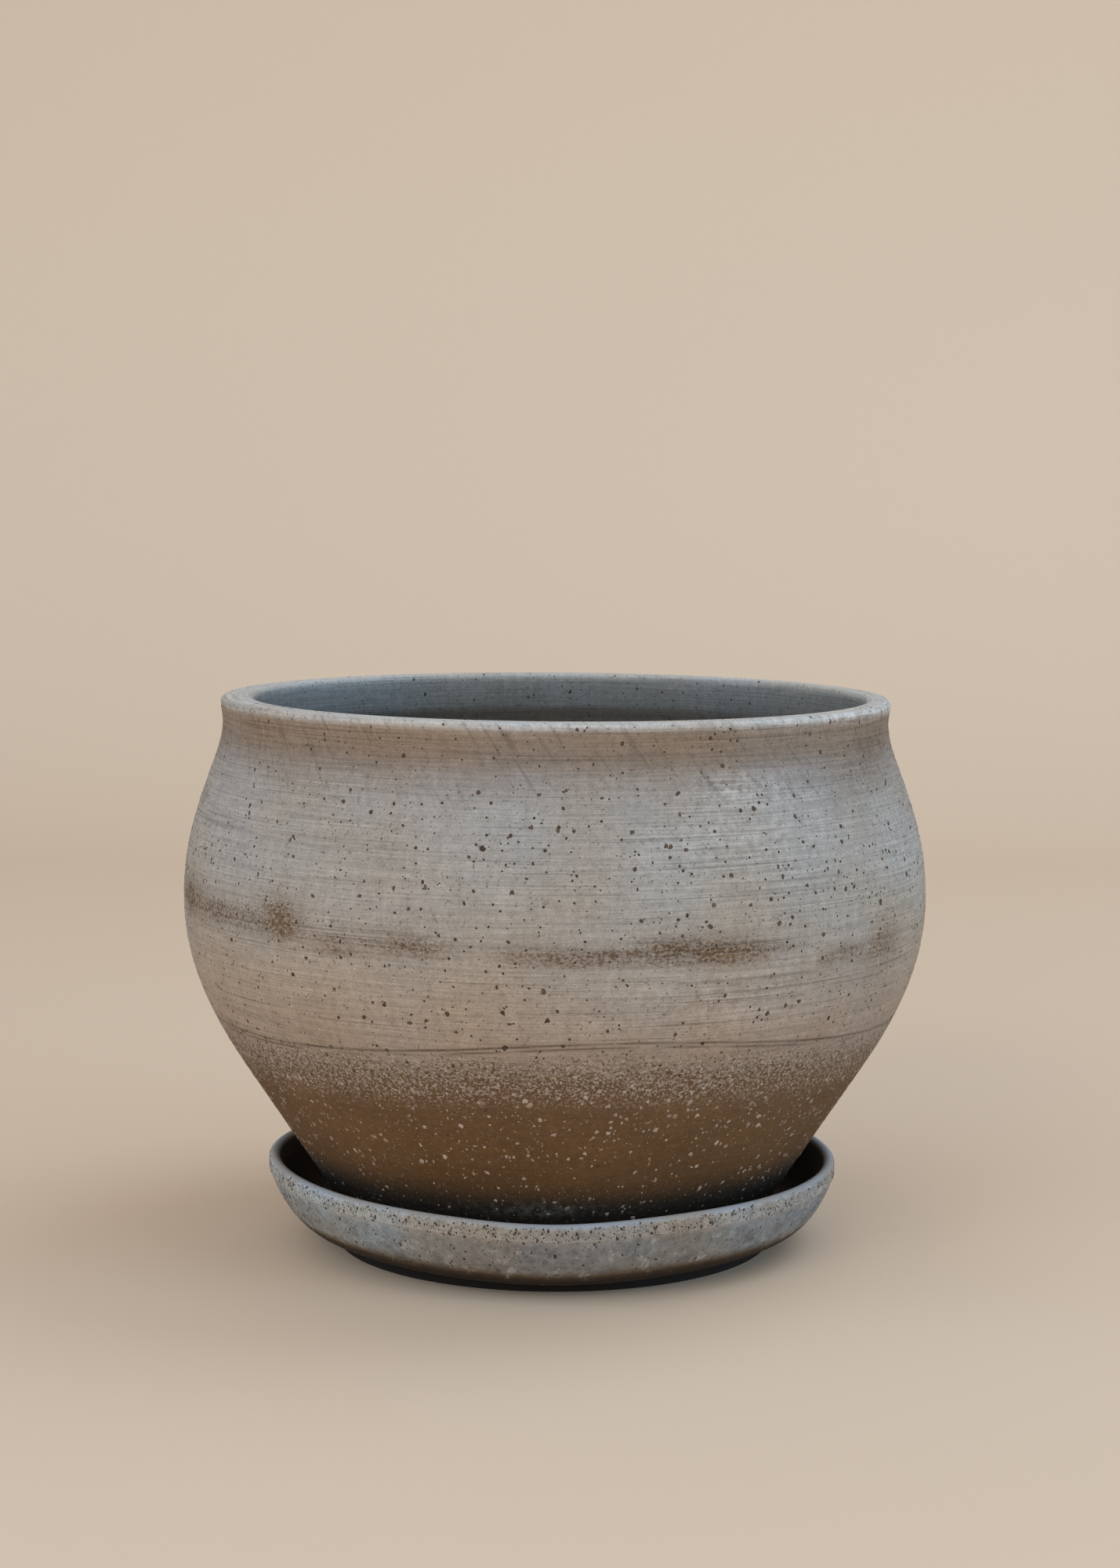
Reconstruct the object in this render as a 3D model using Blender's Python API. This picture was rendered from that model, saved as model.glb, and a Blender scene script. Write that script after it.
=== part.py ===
# Stoneware plant pot that stands loose in its own saucer, both thrown on a wheel.
# Metres, +Z up. The origin is the middle of the saucer's foot, on the table.
# An outline is a list of (radius, height) points, which is turned about the Z axis.

import math

import bmesh
import bpy

# Saucer
SAUCER_RADIUS = 0.0903      # outside of the lip
SAUCER_HEIGHT = 0.0270      # table to the top of the lip
SAUCER_LIP = 0.0035         # thickness of the lip, which is fully rounded
SAUCER_FLOOR = 0.0095       # table to the top of the floor
SAUCER_TAPER = 0.0163       # how far the edge of the flat floor stands in from the lip
SAUCER_INSET = 0.0050       # how far the foot stands in from the edge of the flat floor
SAUCER_LIFT = 0.0050        # height of the foot, which holds the wall off the table
BAND_HEIGHT = 0.0048        # lip down to the ridge below the band
BAND_STEP = 0.0003          # how far the ridge stands out from the wall

# How the pot stands in the saucer
SEAT_GAP = 0.0003           # foot of the pot above the saucer's floor
FOOT_CLEARANCE = 0.0078     # edge of the saucer's flat floor to the foot of the pot

# Pot
POT_HEIGHT = 0.1641         # foot to the top of the lip
RIM_RADIUS = 0.1052         # outside of the lip
NECK_RADIUS = 0.1046        # narrowest place of the collar
NECK_DEPTH = 0.0071         # lip down to the narrowest place of the collar
BELLY_RADIUS = 0.1171       # widest place
BELLY_HEIGHT = 0.1017       # foot up to the widest place
COLLAR_WALL = 0.0088        # thickness of the collar below the lip
COLLAR_DEPTH = 0.0118       # lip down to the edge where the inside opens out
BELLY_WALL = 0.0075         # thickness of the wall at the belly
LOWER_WALL = 0.0090         # thickness of the lower wall, measured level
POT_FLOOR = 0.0090          # thickness of the floor
LIP_ROUND = 0.0015          # rounding of the lip's two edges
FLOOR_ROUND = 0.0080        # rounding where the floor meets the wall inside
FOOT_BEVEL = 0.0012         # bevel around the foot
FOOT_RING = 0.0110          # width of the ring that the pot stands on
FOOT_RECESS = 0.0015        # depth of the hollow inside that ring
DRAIN_RADIUS = 0.0090       # drainage hole
DRAIN_ROUND = 0.0012        # softened upper edge of the drainage hole

# Form of the pot's outer curve, as shares of the spans that it joins
TURN_DOWN = 0.305           # where the collar's hollow curve turns into the belly's full one
TURN_OUT = 0.345            # how much of the swelling is reached there
TURN_LEAN = 1.64            # slope there, over the mean slope from neck to belly
STRAIGHT_UP = 0.475         # how high the straight lower wall reaches towards the belly
STRAIGHT_OUT = 0.625        # how much of the swelling the straight lower wall makes
PULL = 0.355                # length of a curve's handles over the height of the curve
UNDERCUT = 0.14             # how soon the inside opens out below the collar

# Form of the saucer's wall
WALL_FALL = 0.52            # how steeply the outer wall leaves the ridge
WALL_TUCK = 0.18            # how far it leans in there
BOWL = 0.6                  # fullness of the inner curve
BOWL_LEAN = 0.2             # how far the inner wall leans out at the lip

# Fineness
TURNS = 72                  # faces around each piece
LONG_STEPS = 6              # faces along a long curve
SHORT_STEPS = 3             # faces along a small rounding
SHARP_ANGLE = math.radians(28)
SAME_POINT = 1e-6

# Places that follow from the sizes
SAUCER_FLOOR_RADIUS = SAUCER_RADIUS - SAUCER_TAPER
SAUCER_FOOT_RADIUS = SAUCER_FLOOR_RADIUS - SAUCER_INSET
FOOT_RADIUS = SAUCER_FLOOR_RADIUS - FOOT_CLEARANCE
POT_SEAT = SAUCER_FLOOR + SEAT_GAP
NECK_HEIGHT = POT_HEIGHT - NECK_DEPTH
COLLAR_RADIUS = RIM_RADIUS - COLLAR_WALL
STRAIGHT_HEIGHT = STRAIGHT_UP * BELLY_HEIGHT
STRAIGHT_RADIUS = FOOT_RADIUS + STRAIGHT_OUT * (BELLY_RADIUS - FOOT_RADIUS)
LOWER_SLOPE = (STRAIGHT_RADIUS - FOOT_RADIUS) / STRAIGHT_HEIGHT

# Colours are linear RGB
POT_COLOUR = (0.30, 0.25, 0.21, 1.0)
SAUCER_COLOUR = (0.20, 0.20, 0.20, 1.0)
STONEWARE_ROUGHNESS = 0.85


def clear_scene():
    for item in list(bpy.data.objects):
        bpy.data.objects.remove(item, do_unlink=True)


def stoneware(name, colour):
    """A matt, unglazed stoneware surface."""
    material = bpy.data.materials.new(name)
    material.use_nodes = True
    shader = material.node_tree.nodes["Principled BSDF"]
    shader.inputs["Base Color"].default_value = colour
    shader.inputs["Roughness"].default_value = STONEWARE_ROUGHNESS
    shader.inputs["Metallic"].default_value = 0.0
    return material


def arc(centre, size, first, last, steps):
    """Points on a circle, from one angle to another, in degrees from straight outwards."""
    points = []
    for step in range(steps + 1):
        angle = math.radians(first + (last - first) * step / steps)
        points.append((centre[0] + size * math.cos(angle), centre[1] + size * math.sin(angle)))
    return points


def curve(start, leave, arrive, end, steps):
    """Points on a smooth curve that leaves its start towards one handle and arrives from the other."""
    points = []
    for step in range(steps + 1):
        t = step / steps
        weights = ((1 - t) ** 3, 3 * t * (1 - t) ** 2, 3 * t * t * (1 - t), t ** 3)
        corners = (start, leave, arrive, end)
        radius = sum(weight * corner[0] for weight, corner in zip(weights, corners))
        height = sum(weight * corner[1] for weight, corner in zip(weights, corners))
        points.append((radius, height))
    return points


def joined(*stretches):
    """One outline from stretches that meet end to end, with no point twice in a row."""
    outline = []
    for stretch in stretches:
        for point in stretch:
            if not outline or math.dist(point, outline[-1]) > SAME_POINT:
                outline.append(point)
    return outline


def turned(name, outline, closed, material):
    """A body of revolution about Z. A closed outline is a ring; an open one ends on the axis."""
    shape = bmesh.new()
    corners = [shape.verts.new((radius, 0.0, height)) for radius, height in outline]
    edges = [shape.edges.new(pair) for pair in zip(corners, corners[1:])]
    if closed:
        edges.append(shape.edges.new((corners[-1], corners[0])))
    bmesh.ops.spin(
        shape,
        geom=corners + edges,
        cent=(0.0, 0.0, 0.0),
        axis=(0.0, 0.0, 1.0),
        angle=2 * math.pi,
        steps=TURNS,
        use_merge=True,
    )
    bmesh.ops.remove_doubles(shape, verts=shape.verts, dist=SAME_POINT)
    bmesh.ops.recalc_face_normals(shape, faces=shape.faces)
    mesh = bpy.data.meshes.new(name)
    shape.to_mesh(mesh)
    shape.free()
    mesh.shade_smooth()
    mesh.set_sharp_from_angle(angle=SHARP_ANGLE)
    mesh.materials.append(material)
    piece = bpy.data.objects.new(name, mesh)
    bpy.context.scene.collection.objects.link(piece)
    return piece


def saucer_inside():
    """From the middle of the floor out to the inner edge of the lip."""
    lip_radius = SAUCER_RADIUS - SAUCER_LIP
    lip_height = SAUCER_HEIGHT - SAUCER_LIP / 2
    spread = lip_radius - SAUCER_FLOOR_RADIUS
    rise = lip_height - SAUCER_FLOOR
    wall = curve(
        (SAUCER_FLOOR_RADIUS, SAUCER_FLOOR),
        (SAUCER_FLOOR_RADIUS + BOWL * spread, SAUCER_FLOOR),
        (lip_radius - BOWL_LEAN * spread, lip_height - BOWL * rise),
        (lip_radius, lip_height),
        LONG_STEPS,
    )
    return [(0.0, SAUCER_FLOOR)] + wall


def saucer_outside():
    """From the lip down past the ridge, in under the wall, down the foot and in to the middle."""
    ridge_height = SAUCER_HEIGHT - BAND_HEIGHT
    wall_top = (SAUCER_RADIUS - BAND_STEP, ridge_height - BAND_STEP)
    spread = wall_top[0] - SAUCER_FLOOR_RADIUS
    fall = wall_top[1] - SAUCER_LIFT
    wall = curve(
        wall_top,
        (wall_top[0] - WALL_TUCK * spread, wall_top[1] - WALL_FALL * fall),
        (wall_top[0] - WALL_FALL * spread, SAUCER_LIFT),
        (SAUCER_FLOOR_RADIUS, SAUCER_LIFT),
        LONG_STEPS,
    )
    foot = [(SAUCER_FOOT_RADIUS, SAUCER_LIFT), (SAUCER_FOOT_RADIUS, 0.0), (0.0, 0.0)]
    return [(SAUCER_RADIUS, ridge_height)] + wall + foot


def saucer():
    """A shallow dish with a rounded lip, a band under it and a wall that tucks in over a low foot."""
    half_lip = SAUCER_LIP / 2
    centre = (SAUCER_RADIUS - half_lip, SAUCER_HEIGHT - half_lip)
    lip = arc(centre, half_lip, 180, 0, 2 * SHORT_STEPS)
    outline = joined(saucer_inside(), lip, saucer_outside())
    return turned("saucer", outline, False, stoneware("saucer_stoneware", SAUCER_COLOUR))


def pot_outside():
    """From the lip's flat top over its outer edge and down the collar, shoulder and belly to the foot."""
    lip_centre = (RIM_RADIUS - LIP_ROUND, POT_HEIGHT - LIP_ROUND)
    swelling = BELLY_RADIUS - NECK_RADIUS
    fall = NECK_HEIGHT - BELLY_HEIGHT
    turn = (NECK_RADIUS + TURN_OUT * swelling, NECK_HEIGHT - TURN_DOWN * fall)
    turn_slope = TURN_LEAN * swelling / fall
    collar_pull = PULL * (NECK_HEIGHT - turn[1])
    shoulder_pull = PULL * (turn[1] - BELLY_HEIGHT)
    belly_pull = PULL * (BELLY_HEIGHT - STRAIGHT_HEIGHT)
    collar = curve(
        (NECK_RADIUS, NECK_HEIGHT),
        (NECK_RADIUS, NECK_HEIGHT - collar_pull),
        (turn[0] - turn_slope * collar_pull, turn[1] + collar_pull),
        turn,
        LONG_STEPS,
    )
    shoulder = curve(
        turn,
        (turn[0] + turn_slope * shoulder_pull, turn[1] - shoulder_pull),
        (BELLY_RADIUS, BELLY_HEIGHT + shoulder_pull),
        (BELLY_RADIUS, BELLY_HEIGHT),
        LONG_STEPS,
    )
    belly = curve(
        (BELLY_RADIUS, BELLY_HEIGHT),
        (BELLY_RADIUS, BELLY_HEIGHT - belly_pull),
        (STRAIGHT_RADIUS + LOWER_SLOPE * belly_pull, STRAIGHT_HEIGHT + belly_pull),
        (STRAIGHT_RADIUS, STRAIGHT_HEIGHT),
        LONG_STEPS,
    )
    lip = arc(lip_centre, LIP_ROUND, 90, 0, SHORT_STEPS)
    foot = [(FOOT_RADIUS + LOWER_SLOPE * FOOT_BEVEL, FOOT_BEVEL), (FOOT_RADIUS - FOOT_BEVEL, 0.0)]
    return joined(lip, collar, shoulder, belly, foot)


def pot_underside():
    """The ring that the pot stands on, the hollow inside it and the drainage hole."""
    ring_radius = FOOT_RADIUS - FOOT_BEVEL - FOOT_RING
    hole_centre = (DRAIN_RADIUS + DRAIN_ROUND, POT_FLOOR - DRAIN_ROUND)
    ring = [(ring_radius, 0.0), (ring_radius - FOOT_RECESS, FOOT_RECESS), (DRAIN_RADIUS, FOOT_RECESS)]
    return joined(ring, arc(hole_centre, DRAIN_ROUND, 180, 90, SHORT_STEPS))


def pot_inside():
    """From the floor up the lower wall and belly, in under the collar and over the lip's inner edge."""
    wall_foot = STRAIGHT_RADIUS - LOWER_WALL - LOWER_SLOPE * (STRAIGHT_HEIGHT - POT_FLOOR)
    wall_top = (STRAIGHT_RADIUS - LOWER_WALL, STRAIGHT_HEIGHT)
    belly = (BELLY_RADIUS - BELLY_WALL, BELLY_HEIGHT)
    throat = (COLLAR_RADIUS, POT_HEIGHT - COLLAR_DEPTH)
    belly_pull = PULL * (BELLY_HEIGHT - STRAIGHT_HEIGHT)
    throat_fall = throat[1] - BELLY_HEIGHT
    floor_corner = (wall_foot, POT_FLOOR)
    floor_round = curve(
        (wall_foot - FLOOR_ROUND, POT_FLOOR),
        floor_corner,
        floor_corner,
        (wall_foot + LOWER_SLOPE * FLOOR_ROUND, POT_FLOOR + FLOOR_ROUND),
        SHORT_STEPS,
    )
    lower = curve(
        wall_top,
        (wall_top[0] + LOWER_SLOPE * belly_pull, wall_top[1] + belly_pull),
        (belly[0], belly[1] - belly_pull),
        belly,
        LONG_STEPS,
    )
    upper = curve(
        belly,
        (belly[0], belly[1] + PULL * throat_fall),
        (throat[0] + PULL * (belly[0] - throat[0]), throat[1] - UNDERCUT * throat_fall),
        throat,
        LONG_STEPS,
    )
    lip_centre = (COLLAR_RADIUS + LIP_ROUND, POT_HEIGHT - LIP_ROUND)
    lip = arc(lip_centre, LIP_ROUND, 180, 90, SHORT_STEPS)
    return joined(floor_round, lower, upper, lip)


def pot():
    """A round-bellied pot with a low collar, whose inside opens out under the collar."""
    outline = joined(pot_outside(), pot_underside(), pot_inside())
    piece = turned("pot", outline, True, stoneware("pot_stoneware", POT_COLOUR))
    piece.location.z = POT_SEAT
    return piece


clear_scene()
saucer()
pot()
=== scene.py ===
# The looks of a stoneware plant pot that stands in its own saucer.
# Metres, +Z up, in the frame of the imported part. The camera stands on the -Y side.
# A turn is an angle about the Z axis from the front, positive to the right.

import math
import random

import bpy
import numpy as np
from mathutils import Matrix, Vector


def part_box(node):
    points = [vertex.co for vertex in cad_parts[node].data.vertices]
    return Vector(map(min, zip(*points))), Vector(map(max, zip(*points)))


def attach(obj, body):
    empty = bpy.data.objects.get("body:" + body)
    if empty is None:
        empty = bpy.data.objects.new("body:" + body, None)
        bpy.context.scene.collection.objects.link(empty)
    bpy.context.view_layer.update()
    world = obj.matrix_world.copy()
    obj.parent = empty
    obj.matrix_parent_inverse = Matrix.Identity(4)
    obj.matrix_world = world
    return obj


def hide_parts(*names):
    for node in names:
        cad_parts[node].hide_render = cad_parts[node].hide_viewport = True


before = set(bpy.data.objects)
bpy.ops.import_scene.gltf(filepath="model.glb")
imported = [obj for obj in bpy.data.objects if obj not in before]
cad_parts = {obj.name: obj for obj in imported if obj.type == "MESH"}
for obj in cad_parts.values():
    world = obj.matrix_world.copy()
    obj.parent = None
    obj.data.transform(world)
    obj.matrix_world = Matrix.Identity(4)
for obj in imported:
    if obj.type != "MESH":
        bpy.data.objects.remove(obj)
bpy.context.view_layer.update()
POT_LOW, POT_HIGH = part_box("pot")
SAUCER_LOW, SAUCER_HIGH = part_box("saucer")
MM = 0.001

# Pot, at the sizes of its solid
SEAT = POT_LOW.z
RIM_HEIGHT = POT_HIGH.z
BELLY_RADIUS = POT_HIGH.x
BELLY_HEIGHT = SEAT + 101.7 * MM
RIM_RADIUS = 105.2 * MM
NECK_RADIUS = 104.6 * MM
NECK_HEIGHT = RIM_HEIGHT - 7.1 * MM
TURN_RADIUS = NECK_RADIUS + 4.3 * MM  # where the collar's hollow curve turns into the belly's full one
TURN_HEIGHT = NECK_HEIGHT - 16.9 * MM
TURN_SLOPE = 0.370
STRAIGHT_HEIGHT = SEAT + 48.3 * MM  # top of the straight lower wall
STRAIGHT_RADIUS = 98.0 * MM
FOOT_RADIUS = 66.2 * MM
LOWER_SLOPE = (STRAIGHT_RADIUS - FOOT_RADIUS) / (STRAIGHT_HEIGHT - SEAT)
COLLAR_RADIUS = RIM_RADIUS - 8.8 * MM
THROAT_HEIGHT = RIM_HEIGHT - 11.8 * MM  # edge where the inside opens out
BELLY_WALL = 7.5 * MM
LOWER_WALL = 9.0 * MM
POT_FLOOR = SEAT + 9.0 * MM
LIP_ROUND = 1.5 * MM
FLOOR_ROUND = 8.0 * MM
FOOT_BEVEL = 1.2 * MM
FOOT_RING = 11.0 * MM
FOOT_RECESS = 1.5 * MM
DRAIN_RADIUS = 9.0 * MM
DRAIN_ROUND = 1.2 * MM
PULL = 0.355  # length of a curve's handles over the height of the curve
UNDERCUT = 0.14

# Saucer, at the sizes of its solid
SAUCER_RADIUS = SAUCER_HIGH.x
SAUCER_HEIGHT = SAUCER_HIGH.z
SAUCER_LIP = 3.5 * MM
SAUCER_FLOOR = SEAT - 0.3 * MM
FLOOR_RADIUS = SAUCER_RADIUS - 16.3 * MM
SAUCER_FOOT = FLOOR_RADIUS - 5.0 * MM
SAUCER_LIFT = 5.6 * MM  # the wall's underside away from the front; the solid's is at 5.0 mm
RIDGE_HEIGHT = SAUCER_HEIGHT - 4.8 * MM
BAND_STEP = 0.3 * MM
WALL_FALL = 0.52
WALL_TUCK = 0.18
BOWL = 0.6
BOWL_LEAN = 0.2
POLE = 3.0 * MM  # radius of the small fans that close the saucer's middle

# Unevenness of the hand-made pieces
BORE_SHIFT = 1.3 * MM  # the mouth's bore is off centre, to the right
RIM_DIP = 0.25 * MM  # the rim is lower on the right
RING_DEPTH = 0.03 * MM  # rings that the turning tool left outside
RING_LENGTHS = (4.3 * MM, 5.9 * MM, 8.3 * MM, 13.7 * MM, 23 * MM)
INNER_DEPTH = 0.2 * MM  # broader rings that fingers left inside
INNER_LENGTHS = (11 * MM, 17 * MM, 29 * MM)
RING_FADE = 6 * MM  # lengths over which the rings fade in and out
FLOOR_FADE = 20 * MM
THROAT_FADE = 12 * MM
RIM_FADE = 20 * MM
DRAG_LEAN = -0.7  # slant of the marks dragged over the collar
SAUCER_DIP = 1.6 * MM  # the saucer's lip dips at the front and rises at the left
DIP_SPREAD = math.radians(19)
SAUCER_RISE = 1.7 * MM
RISE_TURN = math.radians(-78)
RISE_SPREAD = math.radians(36)
SAUCER_SHIFT = 0.6 * MM  # the saucer's lip is off centre, to the left
UNDER_DIP = 1.8 * MM  # the wall's underside is lower at the front
UNDER_SPREAD = math.radians(36)
PAINTED_WARM_LIGHT_TURN = math.radians(5)  # where the painted warm light on the saucer's slip is strongest; away from it, painted cool light tints the band and wall blue
PAINTED_WARM_LIGHT_SPREAD = math.radians(28)
CROWD_TURN = math.radians(-65)  # where grains crowd the saucer's wall
CROWD_SPREAD = math.radians(35)

# The pair of fine lines turned into the lower belly, which isn't level
LINE_HEIGHT = 76.0 * MM
LINE_RISE = 7.3 * MM
LINE_TURN = math.radians(9)  # where it is highest
LINE_SPREAD = math.radians(36)
LINE_DEPTH = 0.15 * MM
LINE_WIDTH = 0.40 * MM
SECOND_LINE = 1.4 * MM  # how far the thinner line lies below the first
ZONE_TOP = LINE_HEIGHT + 6 * MM  # heights between which the rows are finely spaced
ZONE_FOOT = LINE_HEIGHT - 4 * MM
ZONE_FADE = 36 * MM  # how far from the zone the rows are level again

# The edge where the grey slip thins out over the brown clay
SPRAY_HEIGHT = 67.2 * MM
SPRAY_RISE = 4.0 * MM
SPRAY_TURN = math.radians(3)
SPRAY_SPREAD = math.radians(45)

# Patches: turn in degrees, height in mm, half width in degrees, half height in mm, strength
# Brown smudges on the belly and the shoulder; the last one darkens the lip at the left
SMUDGES = (
    (-73, 114.5, 7, 6, 0.8), (-62, 114, 12, 5, 0.35), (-58, 113.2, 4.5, 4.5, 0.4), (-51, 113, 3.5, 4.5, 0.3),
    (-43.2, 114.2, 3.6, 5.0, 1.0), (-44, 117, 6, 8, 0.2), (-33, 111.4, 6, 1.8, 0.45),
    (-32.5, 107.8, 4.5, 1.6, 0.65),
    (-20, 110.6, 5.5, 3.0, 0.6), (-20, 114, 6, 7, 0.2), (-3, 109.8, 7, 2.8, 0.5), (6.5, 109.3, 6, 2.0, 0.65),
    (5, 106.9, 10, 1.2, 0.4), (15, 111.2, 4, 3.2, 0.6), (21, 110.4, 6, 3.5, 0.6), (28, 108.8, 6, 3.0, 0.6),
    (22, 106.4, 9, 1.2, 0.3), (22, 112, 12, 5, 0.12), (42.8, 103, 2, 2.6, 0.35), (46.5, 105.2, 3, 2.4, 0.6),
    (56, 104.8, 6, 4.2, 0.5), (57, 110, 4, 6, 0.2), (57, 97, 6, 8, 0.18), (95, 107, 12, 4, 0.5),
    (128, 111, 9, 4, 0.6), (160, 114, 14, 3, 0.4), (-165, 112, 10, 4, 0.6), (-130, 115, 12, 4, 0.4),
    (-100, 117, 12, 5, 0.5), (60, 155, 12, 7, 0.35), (-70, 173.5, 32, 2.0, 0.26),
)

# Pale slip on the belly; the broad patch at turn 28, height 141 is painted window light, and the last patch
# lightens the lip at the right. Grey mottled patches just above the foot
PALE_SLIP_AND_PAINTED_LIGHT = (
    (29, 154, 7, 4, 0.3), (28, 141, 15, 12, 0.16), (66, 128, 14, 10, 0.12), (24, 95, 12, 7, 0.16),
    (-150, 139, 25, 12, 0.22), (150, 147, 16, 8, 0.22), (70, 173.5, 30, 2.5, 0.9),
)
GREY_FOOT_PATCHES = (
    (-4, 27.2, 13, 2.4, 1.0), (-66, 29, 8, 2.0, 0.6), (118, 28, 20, 2.5, 0.8), (-140, 27, 14, 2.2, 0.8),
)

# Dark grains of grog in the slip, which stand out as far as they are sunk, and pale flecks on the clay
GRAIN_SIDES = 7
GRAIN_SUNK = 0.05 * MM
FLECK_RISE = 1.6 * GRAIN_SUNK
GROG_RAGGED = 0.4  # how uneven their edges are
FLECK_RAGGED = 0.6
GROUPED = 0.35  # share that lie in groups
GROUP_SPREAD = 4.5 * MM
BAND_GROUPED = 0.6
BAND_SPREAD = 0.9 * MM
GROG_SHARE = 7.5e4  # grains on a square metre where they are thickest
BAND_SHARE = 75e4  # the saucer's band is crowded with them
WALL_SHARE = 24e4  # so is its wall, at the left
FLECK_SHARE = 18e4
FLECK_TOP = 87 * MM  # no fleck lies higher
FLECK_REACH = 30 * MM  # how far below the slip's edge the flecks thin out

# Sizes of grains: the smallest, the mean above the smallest, and the largest
GROG_SIZES = (0.37 * MM, 0.31 * MM, 1.7 * MM)
BAND_SIZES = (0.32 * MM, 0.24 * MM, 1.5 * MM)
WALL_SIZES = (0.35 * MM, 0.26 * MM, 1.6 * MM)
BOWL_SIZES = (0.30 * MM, 0.15 * MM, 1.0 * MM)
FLECK_SIZES = (0.42 * MM, 0.46 * MM, 2.1 * MM)

# The largest grains: turn in degrees, height in mm, size in mm
LARGE_GROG = (
    (-23.2, 127, 2.0), (-18.4, 127.8, 1.6), (33.2, 116.2, 1.7), (55.6, 117.8, 1.9), (22, 116.6, 2.0),
    (-10.4, 139, 2.0), (-6.4, 142.6, 1.7), (-21.2, 88.2, 1.6), (-33.2, 87.8, 1.5), (-7.2, 81.4, 1.9),
    (22.4, 80.6, 1.5), (18.8, 153.8, 1.6), (38.8, 145.4, 1.6), (11.2, 143.4, 1.5), (66, 123.4, 2.0),
    (-54.8, 145.4, 1.6), (-2.4, 153.8, 1.5),
)

# Seeds
RING_SEED = 5
INNER_SEED = 6
LINE_SEED = 3
SECOND_SEED = 4
GROG_SEED = 11
FLECK_SEED = 12
SAUCER_SEED = 13

# Meshes
TURNS = 360
FINE_ROW = 0.35 * MM
WALL_ROW = 1.05 * MM
INNER_ROW = 2.6 * MM
FLAT_ROW = 5.0 * MM
SHARP_ANGLE = math.radians(40)

# Camera
CAMERA_PLACE = Vector((0.0, -0.945, 0.2461))
CAMERA_LENS = 68.86
CAMERA_PITCH = 0.10616
CAMERA_YAW = -0.001557
CAMERA_ROLL = 0.0045

# Stage, in metres. Lamps: name, place, size, power in watts, colour
BACKDROP_COLOUR = (0.76, 0.62, 0.49, 1.0)
BACKDROP_DEPTH = 1.5
BACKDROP_BEND = 0.6
BACKDROP_STEPS = 16
BACKDROP_HALF_WIDTH = 6.0
BACKDROP_FRONT = -6.0
BACKDROP_HEIGHT = 4.0
BACKDROP_DROP = 0.05 * MM  # keeps the floor just clear of the foot
WORLD_STRENGTH = 0.53
LAMP_TARGET = Vector((0.0, 0.0, 0.09))
LAMPS = (
    ("window", (1.5, -0.8, 0.30), 1.4, 15, (0.51, 0.77, 1.0)),
    ("fill", (-0.9, -1.7, 0.75), 1.6, 13.5, (1.0, 0.945, 0.865)),
    ("side", (-1.6, -0.4, 0.5), 1.2, 6.3, (0.52, 0.76, 1.0)),
    ("sky", (0.9, 0.4, 1.5), 1.2, 7, (0.75, 0.88, 1.0)),
)


# Outlines

def arc(centre, size, first, last, steps=24):
    """Points on a circle, from one angle to another, in degrees from straight outwards."""
    angles = np.radians(np.linspace(first, last, steps))
    return np.stack([centre[0] + size * np.cos(angles), centre[1] + size * np.sin(angles)], axis=1)


def curve(start, leave, arrive, end, steps=80):
    """Points on a smooth curve that leaves its start towards one handle and arrives from the other."""
    t = np.linspace(0, 1, steps)[:, None]
    corners = [np.array(point) for point in (start, leave, arrive, end)]
    weights = ((1 - t) ** 3, 3 * t * (1 - t) ** 2, 3 * t * t * (1 - t), t ** 3)
    return sum(weight * corner for weight, corner in zip(weights, corners))


def straight(*points):
    return np.array(points)


class Outline:
    """A turned outline made of named stretches, with the places of the mesh's rows along it."""

    def __init__(self):
        self.points = np.zeros((0, 2))
        self.along = np.zeros(0)
        self.rows = np.zeros(0)
        self.shares = np.zeros(0)
        self.spans = {}

    def add(self, name, points, spacing, share=1.0):
        """Adds a stretch with its rows. The share says how much room it gets in the texture map."""
        steps = np.linalg.norm(np.diff(points, axis=0), axis=1)
        start = self.along[-1] if len(self.along) else 0.0
        along = start + np.concatenate([[0.0], np.cumsum(steps)])
        self.points = np.concatenate([self.points, points])
        self.along = np.concatenate([self.along, along])
        self.spans[name] = (along, points)
        length = along[-1] - start
        count = max(1, round(length / spacing))
        self.rows = np.concatenate([self.rows, start + length * np.arange(count) / count])
        self.shares = np.concatenate([self.shares, np.full(count, share * length / count)])

    def place(self, along):
        """Radius and height at distances along the outline."""
        radius = np.interp(along, self.along, self.points[:, 0])
        height = np.interp(along, self.along, self.points[:, 1])
        return radius, height

    def distance(self, name, height):
        """How far along the outline a stretch reaches a height."""
        along, points = self.spans[name]
        order = np.argsort(points[:, 1])
        return np.interp(height, points[order, 1], along[order])

    def share(self, name, height):
        """Where a stretch reaches a height in millimetres, as a share of the outline's length."""
        return self.distance(name, height * MM) / self.along[-1]


def cut_at(points, heights):
    """Splits a falling line of points at the given heights."""
    pieces = []
    rest = points
    for height in heights:
        above = rest[:, 1] > height
        radius = np.interp(height, rest[::-1, 1], rest[::-1, 0])
        pieces.append(np.concatenate([rest[above], [(radius, height)]]))
        rest = np.concatenate([[(radius, height)], rest[~above]])
    return pieces + [rest]


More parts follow.
